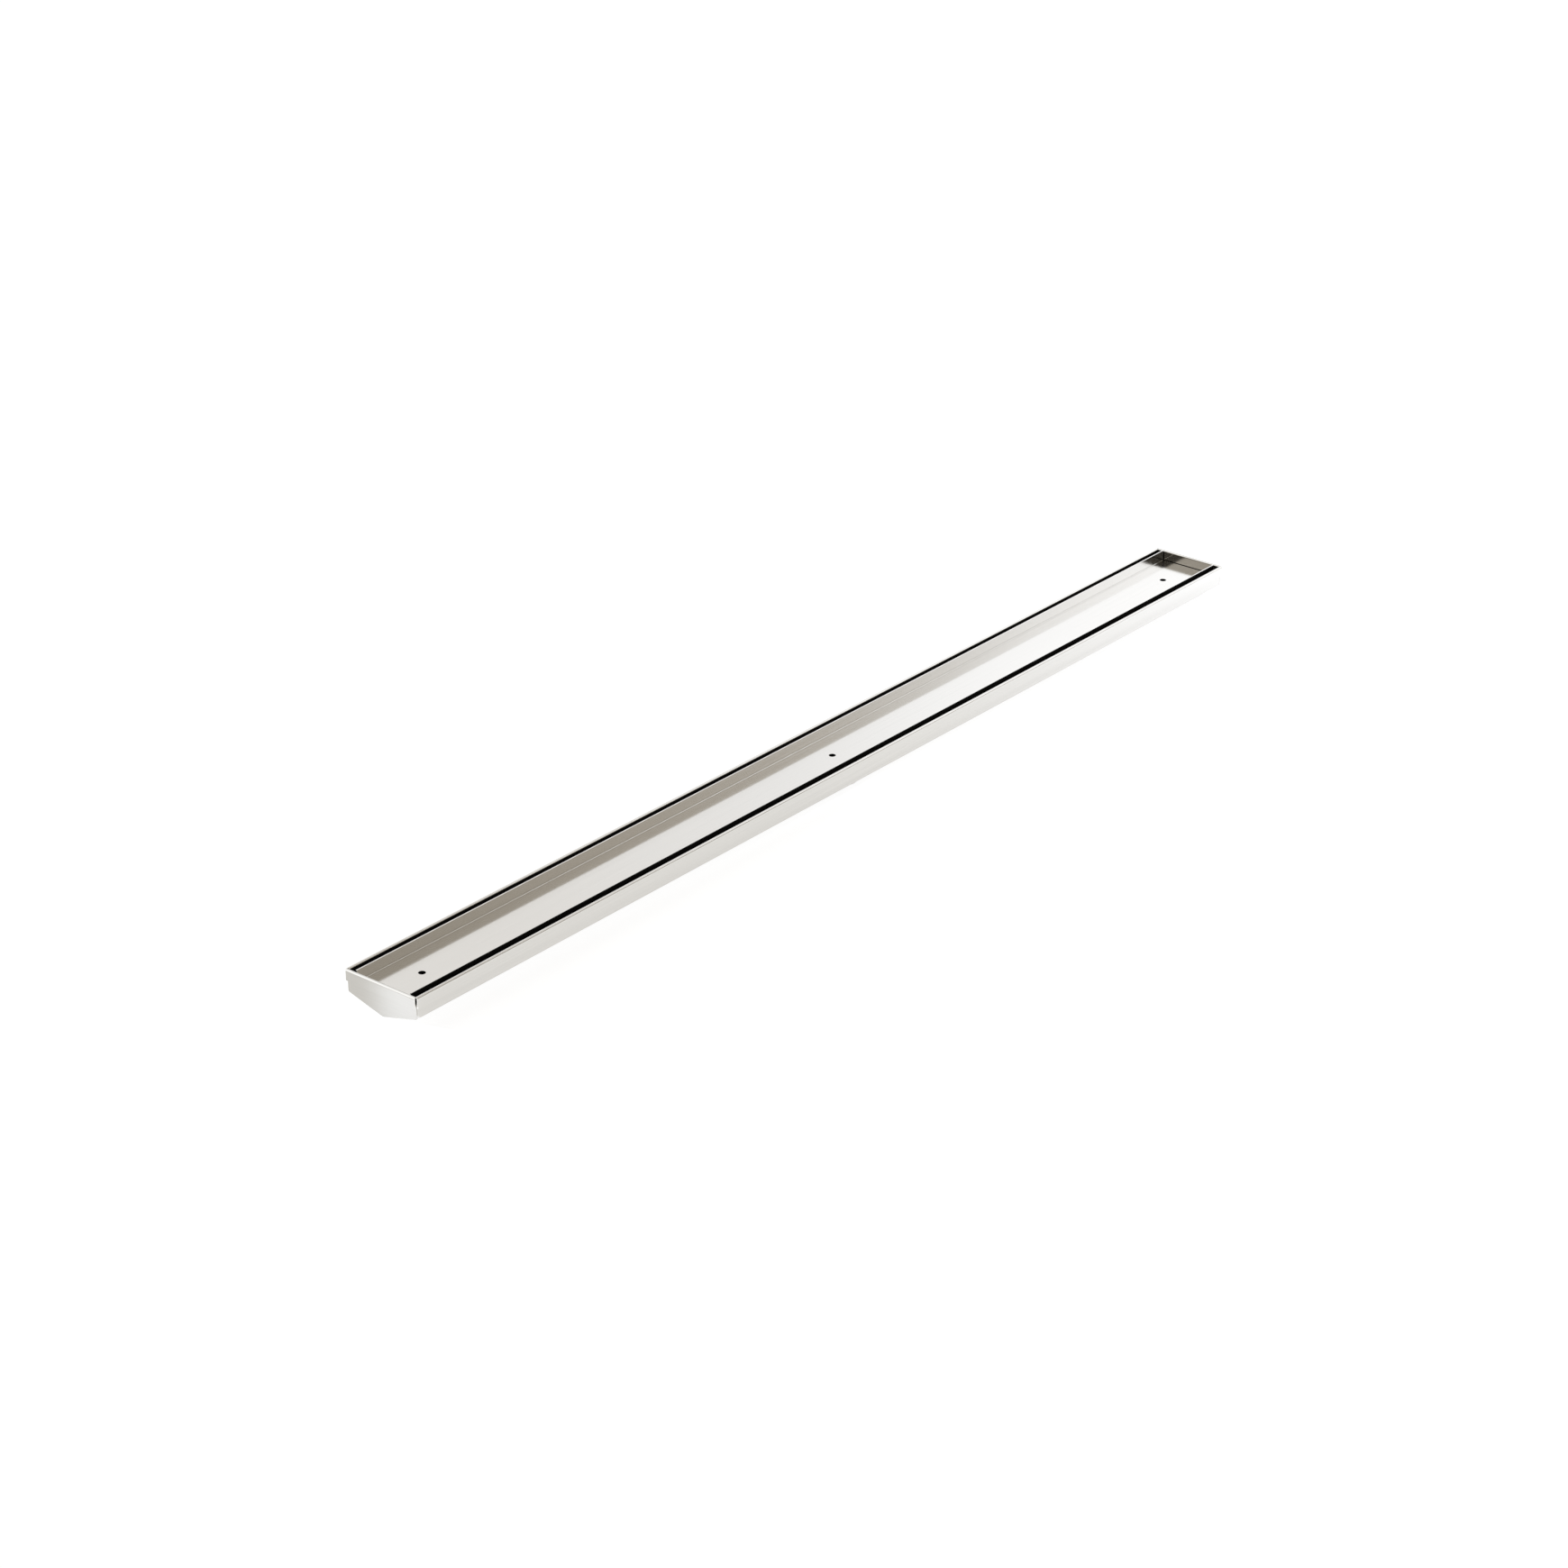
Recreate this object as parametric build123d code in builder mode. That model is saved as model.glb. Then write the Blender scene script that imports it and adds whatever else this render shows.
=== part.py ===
from build123d import *
import math
import os

os.makedirs("parts", exist_ok=True)

# Overall sizes: X along the drain, Y across it, Z up from the underside
overall_length = 1000.0
overall_width = 69.2
overall_depth = 26.8

# Folded sheet of the channel and its end plates
sheet = 1.0
bend_inside = 0.3
hem_gap = 0.8
hem_drop = 8.6
wall_drop = 17.8

# Tile tray
tray_sheet = 1.0
tray_bend_inside = 0.3
tile_depth = 8.8
drain_slot = 5.25
tray_end_gap = 1.0
weep_diameter = 5.3
weep_inset = 41.5

# Bridges that carry the tray
bridge_sheet = 1.2
bridge_bend_inside = 0.6
bridge_width = 20.0
bridge_side_gap = 0.2
bridge_count = 4

# Outlet collar
outlet_bore = 40.0
collar_wall = 1.2
collar_fit = 0.05

# Places that follow from the sizes
rim_z = overall_depth
half_length = overall_length / 2
half_width = overall_width / 2
hem_radius = sheet + hem_gap / 2
wall_out = half_width - sheet - hem_gap
wall_in = wall_out - sheet
plate_out = half_length - sheet - hem_gap
plate_in = plate_out - sheet
shoulder_z = overall_depth - wall_drop
slope = math.atan2(shoulder_z, wall_out)
fold_z = sheet / math.cos(slope)
foot_z = fold_z + wall_in * math.tan(slope)
tray_half = wall_in - drain_slot
carry_z = rim_z - tile_depth - tray_sheet
weep_x = half_length - weep_inset
bridge_half = wall_in - bend_inside - bridge_side_gap
bridge_pitch = 2 * plate_in / bridge_count
collar_out = outlet_bore / 2 + collar_wall
collar_top = fold_z + collar_out * math.tan(slope)

# Water space: everything between the inner skins of the channel
with BuildSketch(Plane.YZ) as water_space:
    with BuildLine():
        Polyline(
            (wall_in, rim_z),
            (wall_in, foot_z),
            (0, fold_z),
            (-wall_in, foot_z),
            (-wall_in, rim_z),
            close=True,
        )
    make_face()

# Channel section: leaf, hem, wall and sloping floor as one skin, then a sheet's thickness
with BuildSketch(Plane.YZ) as channel_section:
    with BuildLine():
        Line((half_width, rim_z - hem_drop), (half_width, rim_z - hem_radius))
        ThreePointArc(
            (half_width, rim_z - hem_radius),
            (half_width - hem_radius, rim_z),
            (wall_in, rim_z - hem_radius),
        )
        FilletPolyline(
            (wall_in, rim_z - hem_radius),
            (wall_in, foot_z),
            (0, fold_z),
            (-wall_in, foot_z),
            (-wall_in, rim_z - hem_radius),
            radius=bend_inside,
        )
        ThreePointArc(
            (-wall_in, rim_z - hem_radius),
            (hem_radius - half_width, rim_z),
            (-half_width, rim_z - hem_radius),
        )
        Line((-half_width, rim_z - hem_radius), (-half_width, rim_z - hem_drop))
        offset(amount=sheet, side=Side.LEFT, closed=True)
    make_face()

# Channel: the section run out to the outer faces of the end plates
with BuildPart() as channel_body:
    extrude(channel_section.sketch, amount=plate_out, both=True)
    # Seats for the end plates, so that only the hem leaves pass beside them
    with Locations((plate_out, 0, 0), (-plate_out, 0, 0)):
        Box(2 * sheet, 2 * wall_out, 3 * rim_z, mode=Mode.SUBTRACT)
    # Round outlet through the fold of the floor
    Cylinder(collar_out + collar_fit, 2 * shoulder_z, mode=Mode.SUBTRACT)
channel_body.part.label = "channel_body"
export_step(channel_body.part, "parts/channel_body.step")

# Pentagon cut to the outside of the channel
with BuildSketch(Plane.YZ.offset(plate_in)) as end_outline:
    with BuildLine():
        Polyline(
            (wall_out, rim_z - hem_radius),
            (wall_out, shoulder_z),
            (0, 0),
            (-wall_out, shoulder_z),
            (-wall_out, rim_z - hem_radius),
            close=True,
        )
    make_face()
    fillet(end_outline.vertices().sort_by(Axis.Y)[:3], radius=bend_inside + sheet)

# Hem along the top of an end plate, with its leaf on the outside
with BuildSketch(Plane.XZ) as end_hem:
    with BuildLine():
        Line((plate_in, rim_z - hem_drop), (plate_in, rim_z - hem_radius))
        ThreePointArc(
            (plate_in, rim_z - hem_radius),
            (plate_in + hem_radius, rim_z),
            (half_length, rim_z - hem_radius),
        )
        Line((half_length, rim_z - hem_radius), (half_length, rim_z - hem_drop))
        offset(amount=sheet, side=Side.RIGHT, closed=True)
    make_face()

# End plates: the far one, then its mirror image
with BuildPart() as end_plate_far:
    extrude(end_outline.sketch, amount=sheet)
    extrude(end_hem.sketch, amount=wall_out, both=True)
end_plate_far.part.label = "end_plate_far"
export_step(end_plate_far.part, "parts/end_plate_far.step")

with BuildPart() as end_plate_near:
    mirror(end_plate_far.part, about=Plane.YZ)
end_plate_near.part.label = "end_plate_near"
export_step(end_plate_near.part, "parts/end_plate_near.step")

# Outlet collar: a tube whose top edge is trimmed to the slopes of the floor
with BuildPart() as outlet_collar:
    with BuildSketch():
        Circle(collar_out)
        Circle(outlet_bore / 2, mode=Mode.SUBTRACT)
    extrude(amount=collar_top)
    extrude(water_space.sketch, amount=collar_out, both=True, mode=Mode.SUBTRACT)
outlet_collar.part.label = "outlet_collar"
export_step(outlet_collar.part, "parts/outlet_collar.step")

# Tray section: a folded trough, flush with the rim
with BuildSketch(Plane.YZ) as tray_section:
    with BuildLine():
        FilletPolyline(
            (tray_half, rim_z),
            (tray_half, carry_z),
            (-tray_half, carry_z),
            (-tray_half, rim_z),
            radius=tray_bend_inside + tray_sheet,
        )
        offset(amount=tray_sheet, side=Side.RIGHT, closed=True)
    make_face()

# Tray: open at both ends, with weep holes along its middle
with BuildPart() as tile_tray:
    extrude(tray_section.sketch, amount=plate_in - tray_end_gap, both=True)
    with Locations((-weep_x, 0, carry_z), (0, 0, carry_z), (weep_x, 0, carry_z)):
        Cylinder(weep_diameter / 2, 3 * tray_sheet, mode=Mode.SUBTRACT)
tile_tray.part.label = "tile_tray"
export_step(tile_tray.part, "parts/tile_tray.step")

# Bridge section: a folded strip, its feet trimmed to the slopes of the floor
with BuildSketch(Plane.YZ) as bridge_section:
    with BuildLine():
        FilletPolyline(
            (bridge_half, 0),
            (bridge_half, carry_z),
            (-bridge_half, carry_z),
            (-bridge_half, 0),
            radius=bridge_bend_inside + bridge_sheet,
        )
        offset(amount=bridge_sheet, side=Side.LEFT, closed=True)
    make_face()
    add(water_space.sketch_local, mode=Mode.INTERSECT)

with BuildPart() as bridge:
    extrude(bridge_section.sketch, amount=bridge_width / 2, both=True)

# Bridges spread evenly under the tray
for number in range(1, bridge_count + 1):
    bridge_x = (number - (bridge_count + 1) / 2) * bridge_pitch
    with BuildPart() as tray_bridge:
        with Locations((bridge_x, 0, 0)):
            add(bridge.part)
    tray_bridge.part.label = f"tray_bridge_{number}"
    export_step(tray_bridge.part, f"parts/tray_bridge_{number}.step")
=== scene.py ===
import math

import bpy
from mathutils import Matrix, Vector


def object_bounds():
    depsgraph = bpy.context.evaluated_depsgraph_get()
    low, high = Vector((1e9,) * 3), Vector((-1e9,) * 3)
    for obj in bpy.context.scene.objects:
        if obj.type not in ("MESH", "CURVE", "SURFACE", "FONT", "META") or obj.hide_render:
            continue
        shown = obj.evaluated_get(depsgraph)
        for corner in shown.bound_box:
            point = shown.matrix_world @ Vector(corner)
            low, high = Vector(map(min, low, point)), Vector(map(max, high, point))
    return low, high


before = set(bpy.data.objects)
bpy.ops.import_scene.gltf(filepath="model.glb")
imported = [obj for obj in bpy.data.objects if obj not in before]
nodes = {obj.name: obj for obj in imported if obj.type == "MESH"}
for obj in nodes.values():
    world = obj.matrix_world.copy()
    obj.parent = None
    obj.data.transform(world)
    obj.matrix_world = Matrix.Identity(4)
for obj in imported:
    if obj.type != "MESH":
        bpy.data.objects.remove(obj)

cad_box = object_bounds()
scene = bpy.context.scene
scene.view_settings.view_transform = "Standard"

# Sizes of the drain in metres
sheet = 0.001
wall_drop = 0.0178
weep_inset = 0.0415
weep_radius = 0.00265


# How far the pieces reach from the origin, which is the middle of the drain's underside
def reach(name, axis, pick=max):
    return pick(corner["XYZ".index(axis)] for corner in nodes[name].bound_box)


end_out, side_out, rim = cad_box[1]
plate_out = reach("channel_body", "X")
wall_out = reach("end_plate_far", "Y")
wall_in = wall_out - sheet
tray_in = reach("tile_tray", "Y") - sheet
tile_bed = reach("tile_tray", "Z", min) + sheet
floor_slope = (rim - wall_drop) / wall_out
weep_x = end_out - weep_inset


# Helpers for node trees: put fills a socket, and the others give back the socket with their result
def put(tree, socket, value):
    if isinstance(value, (int, float, tuple)):
        socket.default_value = value
    else:
        tree.links.new(value, socket)


def number(tree, operation, *values):
    node = tree.nodes.new("ShaderNodeMath")
    node.operation = operation
    for socket, value in zip(node.inputs, values):
        put(tree, socket, value)
    return node.outputs[0]


def both(tree, a, b):
    return number(tree, "MULTIPLY", a, b)


def either(tree, a, b):
    return number(tree, "MAXIMUM", a, b)


def spread(tree, value, start, end, low=0.0, high=1.0, kind="LINEAR"):
    node = tree.nodes.new("ShaderNodeMapRange")
    node.interpolation_type = kind
    settings = {"Value": value, "From Min": start, "From Max": end, "To Min": low, "To Max": high}
    for name, setting in settings.items():
        put(tree, node.inputs[name], setting)
    return node.outputs["Result"]


def soft(tree, value, start, end):
    return spread(tree, value, start, end, kind="SMOOTHSTEP")


def ramp(tree, factor, stops):
    node = tree.nodes.new("ShaderNodeValToRGB")
    elements = node.color_ramp.elements
    elements.remove(elements[1])
    elements[0].position = stops[0][0]
    elements[0].color = (*stops[0][1], 1)
    for place, colour in stops[1:]:
        elements.new(place).color = (*colour, 1)
    put(tree, node.inputs["Fac"], factor)
    return node.outputs["Color"]


def blend(tree, factor, a, b):
    node = tree.nodes.new("ShaderNodeMix")
    node.data_type = "RGBA"
    colours = [socket for socket in node.inputs if socket.type == "RGBA"]
    put(tree, node.inputs[0], factor)
    put(tree, colours[0], a)
    put(tree, colours[1], b)
    return [socket for socket in node.outputs if socket.type == "RGBA"][0]


# Masks on a piece, soft within a sheet's thickness: x and y run outward from the middle, and z upward

# What lies between the walls of the channel, over its floor and under its rim; the steel there is
# painted near black as shade in the slots
def water_space(tree, x, y, z):
    height = number(tree, "MULTIPLY_ADD", y, -floor_slope, z)
    over_floor = soft(tree, height, 0.3 * sheet, 0.7 * sheet)
    between_walls = soft(tree, y, wall_out - 0.5 * sheet, wall_in + 0.1 * sheet)
    under_rim = soft(tree, z, rim - 0.6 * sheet, rim - 1.1 * sheet)
    return both(tree, both(tree, over_floor, between_walls), under_rim)


# Flanks and underside of the tray, and the walls of its weep holes, painted near black as shade
def tray_outside(tree, x, y, z):
    outer_side = soft(tree, y, tray_in + 0.2 * sheet, tray_in + 0.6 * sheet)
    flank = both(tree, outer_side, soft(tree, z, rim, rim - 0.6 * sheet))
    underside = soft(tree, z, tile_bed - 0.1 * sheet, tile_bed - 0.5 * sheet)
    from_end_hole = number(tree, "ABSOLUTE", number(tree, "SUBTRACT", x, weep_x))
    from_hole = number(tree, "MINIMUM", x, from_end_hole)
    radius = number(tree, "SQRT", number(tree, "MULTIPLY_ADD", from_hole, from_hole, both(tree, y, y)))
    hole_wall = soft(tree, radius, weep_radius + 0.15 * sheet, weep_radius + 0.05 * sheet)
    return either(tree, either(tree, flank, underside), hole_wall)


# Inner face of an end plate, beside the tray and under it, painted near black as shade
def plate_inside(tree, x, y, z):
    beside = soft(tree, y, tray_in - 0.2 * sheet, tray_in + 0.1 * sheet)
    under = soft(tree, z, tile_bed - 0.2 * sheet, tile_bed - 0.8 * sheet)
    inner_face = soft(tree, x, plate_out - 0.3 * sheet, plate_out - 0.6 * sheet)
    return both(tree, both(tree, either(tree, beside, under), inner_face), water_space(tree, x, y, z))


# Cut ends of the hems' leaves at the corners, painted near white as a highlight
def channel_cut_highlight(tree, x, y, z):
    end_face = soft(tree, x, plate_out - 0.15 * sheet, plate_out - 0.03 * sheet)
    return both(tree, end_face, soft(tree, y, side_out - 1.2 * sheet, side_out - 1.1 * sheet))


# Cut ends of the end plates' leaves at the corners, painted near white as a highlight
def plate_cut_highlight(tree, x, y, z):
    end_face = soft(tree, y, wall_out - 0.15 * sheet, wall_out - 0.03 * sheet)
    return both(tree, end_face, soft(tree, x, end_out - 1.5 * sheet, end_out - 1.2 * sheet))


# Painted shade: a dark line on the tray's floor, just beside the bend of each wall
def tray_crease_shade(tree, x, y, z):
    middle = tray_in - 0.95 * sheet
    inner_edge = soft(tree, y, middle - 0.2 * sheet, middle - 0.1 * sheet)
    outer_edge = soft(tree, y, middle + 0.2 * sheet, middle + 0.1 * sheet)
    on_bed = soft(tree, z, tile_bed + 0.2 * sheet, tile_bed + 0.1 * sheet)
    return both(tree, both(tree, inner_edge, outer_edge), on_bed)


# Brushing: scale of the noise along and across it per metre, and its detail
fine_streaks = (9.0, 2600.0, 5.0)
coarse_streaks = (2.4, 620.0, 3.0)
streak_roughness = 0.6
coarse_share = 0.9
grain_start = 0.5
grain_full = 1.4
smoothest = 0.85
roughest = 1.2
scratch_strength = 0.03
scratch_depth = 0.2 * sheet


# Noise drawn out along the brushing
def streaks(tree, place, along, lengthwise, crosswise, detail):
    mapping = tree.nodes.new("ShaderNodeMapping")
    scale = [crosswise] * 3
    scale["XYZ".index(along)] = lengthwise
    mapping.inputs["Scale"].default_value = scale
    put(tree, mapping.inputs["Vector"], place)
    noise = tree.nodes.new("ShaderNodeTexNoise")
    noise.inputs["Scale"].default_value = 1.0
    noise.inputs["Detail"].default_value = detail
    noise.inputs["Roughness"].default_value = streak_roughness
    put(tree, noise.inputs["Vector"], mapping.outputs["Vector"])
    return noise.outputs["Fac"]


# Brushed stainless steel: grain along one axis, and patches of painted shade and painted highlight where
# their masks say so
def brushed_steel(name, colour, contrast, roughness, along, anisotropy, patches=()):
    material = bpy.data.materials.new(name)
    material.use_nodes = True
    tree = material.node_tree
    shader = tree.nodes["Principled BSDF"]
    shader.inputs["Metallic"].default_value = 1.0
    shader.inputs["Anisotropic"].default_value = anisotropy
    place = tree.nodes.new("ShaderNodeTexCoord").outputs["Object"]
    fine = streaks(tree, place, along, *fine_streaks)
    coarse = streaks(tree, place, along, *coarse_streaks)
    layered = number(tree, "MULTIPLY_ADD", coarse, coarse_share, fine)
    grain = spread(tree, layered, grain_start, grain_full)
    dark_grain = [(1 - contrast / 2) * c for c in colour]
    light_grain = [(1 + contrast / 2) * c for c in colour]
    tone = ramp(tree, grain, [(0.0, dark_grain), (1.0, light_grain)])
    rough = spread(tree, grain, 0.0, 1.0, smoothest * roughness, roughest * roughness)
    split = tree.nodes.new("ShaderNodeSeparateXYZ")
    put(tree, split.inputs[0], place)
    x = number(tree, "ABSOLUTE", split.outputs["X"])
    y = number(tree, "ABSOLUTE", split.outputs["Y"])
    for mask_of, (dark, light, dull) in patches:
        mask = mask_of(tree, x, y, split.outputs["Z"])
        tone = blend(tree, mask, tone, ramp(tree, grain, [(0.0, dark), (1.0, light)]))
        if dull:
            rough = spread(tree, mask, 0.0, 1.0, rough, dull)
    put(tree, shader.inputs["Base Color"], tone)
    put(tree, shader.inputs["Roughness"], rough)
    bump = tree.nodes.new("ShaderNodeBump")
    bump.inputs["Strength"].default_value = scratch_strength
    bump.inputs["Distance"].default_value = scratch_depth
    put(tree, bump.inputs["Height"], fine)
    put(tree, shader.inputs["Normal"], bump.outputs["Normal"])
    tangent = tree.nodes.new("ShaderNodeTangent")
    tangent.direction_type = "RADIAL"
    tangent.axis = along
    put(tree, shader.inputs["Tangent"], tangent.outputs["Tangent"])
    return material


# Patches of painted light: darkest tone, lightest tone, and a roughness where it isn't the brushing's
# Painted shade: near black on the faces hidden in the slots and hollows, which lie in shade
painted_shade = ((0.024, 0.023, 0.022), (0.036, 0.035, 0.033), 0.5)
# Painted highlight: near white on the cut ends of the leaves
painted_highlight = ((0.95, 0.95, 0.94), (1.0, 1.0, 1.0), None)
# Painted shade: a dark line beside the tray's bends
painted_crease_shade = ((0.44, 0.43, 0.41), (0.52, 0.51, 0.49), None)

# Steels of the pieces; the end plates' steel is darker as painted shade, and the bridges are all painted
# near black as shade
bright = (0.855, 0.85, 0.84)
# Painted shade: a darker copy of the bright steel, for the end plates' faces
shaded_grey = (0.68, 0.672, 0.65)
turned = (0.78, 0.77, 0.75)
# Painted shade: the bridges are near black where they lie in the slots' shade
bridge_shade_colour = (0.030, 0.029, 0.0275)
channel_steel = brushed_steel(
    "channel_steel", bright, contrast=0.13, roughness=0.17, along="X", anisotropy=0.5,
    patches=((channel_cut_highlight, painted_highlight), (water_space, painted_shade)),
)
tray_steel = brushed_steel(
    "tray_steel", bright, contrast=0.07, roughness=0.12, along="X", anisotropy=0.5,
    patches=((tray_crease_shade, painted_crease_shade), (tray_outside, painted_shade)),
)
end_steel = brushed_steel(
    "end_steel", shaded_grey, contrast=0.07, roughness=0.08, along="Y", anisotropy=0.5,
    patches=((plate_cut_highlight, painted_highlight), (plate_inside, painted_shade)),
)
collar_steel = brushed_steel(
    "collar_steel", turned, contrast=0.07, roughness=0.28, along="Z", anisotropy=0.3,
)
bridge_steel = brushed_steel(
    "bridge_steel", bridge_shade_colour, contrast=0.3, roughness=0.5, along="Y", anisotropy=0.2,
)
wears = {
    "channel_body": channel_steel,
    "end_plate_near": end_steel,
    "end_plate_far": end_steel,
    "outlet_collar": collar_steel,
    "tile_tray": tray_steel,
}
for name, node in nodes.items():
    node.data.materials.clear()
    node.data.materials.append(wears.get(name, bridge_steel))

# White floor: its own white for the camera and for reflections, and a diffuse part that takes the shadow
floor_size = 80.0
floor_grey = 0.25
white_to_camera = 0.88
white_to_mirrors = 0.685
mirrored_tint = (1.0, 0.985, 0.95)
bpy.ops.mesh.primitive_plane_add(size=floor_size)
floor = bpy.context.object
floor.name = "floor"
floor.location.z = -0.2 * sheet
paint = bpy.data.materials.new("floor_paint")
paint.use_nodes = True
tree = paint.node_tree
shader = tree.nodes["Principled BSDF"]
shader.inputs["Roughness"].default_value = 1.0
shader.inputs["Specular IOR Level"].default_value = 0.0
shader.inputs["Base Color"].default_value = (floor_grey, floor_grey, floor_grey, 1)
rays = tree.nodes.new("ShaderNodeLightPath").outputs
mirrored = either(tree, rays["Is Glossy Ray"], rays["Is Transmission Ray"])
seen_white = number(tree, "MULTIPLY", rays["Is Camera Ray"], white_to_camera)
own_white = number(tree, "MULTIPLY_ADD", mirrored, white_to_mirrors, seen_white)
own_tint = ramp(tree, mirrored, [(0.0, (1, 1, 1)), (1.0, mirrored_tint)])
put(tree, shader.inputs["Emission Strength"], own_white)
put(tree, shader.inputs["Emission Color"], own_tint)
floor.data.materials.append(paint)


# Lamps for the floor: a wide one beyond the far end, and one that lays a long streak before the near end
daylight = (0.85, 0.90, 1.0)
lamp_radius = 0.01


def floor_lamp(name, watts, cone, place, target):
    data = bpy.data.lights.new(name, "SPOT")
    data.energy = watts
    data.color = daylight
    data.spot_size = math.radians(cone)
    data.spot_blend = 1.0
    data.shadow_soft_size = lamp_radius
    lamp = bpy.data.objects.new(name, data)
    scene.collection.objects.link(lamp)
    lamp.location = place
    lamp.rotation_euler = (Vector(target) - lamp.location).to_track_quat("-Z", "Y").to_euler()
    lamp.visible_glossy = False


floor_lamp("far_lamp", watts=24.0, cone=76.0, place=(0.76, -0.32, 0.42), target=(0.48, -0.05, 0.0))
floor_lamp("near_lamp", watts=328.0, cone=3.3, place=(-1.23, 0.87, 0.37), target=(-0.513, -0.016, 0.0))

# Studio around the drain, white for the camera: its light by the turn in degrees from +X towards +Y
world = bpy.data.worlds.new("studio")
scene.world = world
world.use_nodes = True
tree = world.node_tree
split = tree.nodes.new("ShaderNodeSeparateXYZ")
put(tree, split.inputs[0], tree.nodes.new("ShaderNodeTexCoord").outputs["Generated"])
turn = number(tree, "ARCTAN2", split.outputs["Y"], split.outputs["X"])
share = spread(tree, turn, -math.pi, math.pi)


# Darker parts of the studio are a warmer grey
neutral_level = 0.95
warmest_level = 0.35
more_red = 0.11
less_blue = 0.17


def warm(level):
    tint = max(0.0, min(1.0, (neutral_level - level) / (neutral_level - warmest_level)))
    return (level * (1 + more_red * tint), level, level * (1 - less_blue * tint))


def band(levels):
    return ramp(tree, share, [((degrees + 180) / 360, warm(level)) for degrees, level in levels])


# Low down: tan behind with one dark gap, tan on the right, bright walls ahead and a soft box on the left
behind = [(-180, 0.30), (-157, 0.30)]
dark_gap = [(-152, 0.08), (-150, 0.04), (-145, 0.04), (-143, 0.08)]
right = [(-138, 0.30), (-60, 0.27), (-47, 0.31), (-44.9, 0.33), (-42.5, 0.395), (-40.1, 0.42)]
ahead_right = [(-37.7, 0.48), (-36.5, 0.76), (-35.4, 1.13), (-33.9, 1.26), (-30, 1.35), (-18, 1.2)]
ahead_left = [(0, 1.1), (18, 1.15), (30, 1.22), (33.5, 1.12), (35.7, 1.10), (38.6, 0.91), (44.3, 0.80)]
left = [(60, 1.0), (120, 1.40), (141, 1.55), (144, 1.20), (146, 0.52), (147, 0.40), (165, 0.33)]
low = band(behind + dark_gap + right + ahead_right + ahead_left + left)

# High up: dim all round but for a soft box on the left
dim = [(-180, 0.25), (-140, 0.20), (-50, 0.35), (-38, 0.44), (-8, 0.40), (20, 0.48)]
soft_box = [(45, 0.9), (60, 1.2), (130, 1.25), (150, 0.6), (180, 0.25)]
high = band(dim + soft_box)

upper_start = 0.60
upper_full = 0.80
room = blend(tree, soft(tree, split.outputs["Z"], upper_start, upper_full), low, high)
seen = tree.nodes.new("ShaderNodeLightPath").outputs["Is Camera Ray"]
put(tree, tree.nodes["Background"].inputs["Color"], blend(tree, seen, room, (1, 1, 1, 1)))

# Camera at the photograph's viewing angle
camera_data = bpy.data.cameras.new("camera")
camera_data.sensor_width = 36.0
camera_data.lens = 88.21
camera = bpy.data.objects.new("camera", camera_data)
scene.collection.objects.link(camera)
camera.location = (-2.1257, -1.6774, 1.2863)
camera.rotation_euler = Vector((0.70056, 0.56876, -0.43096)).to_track_quat("-Z", "Y").to_euler()
scene.camera = camera
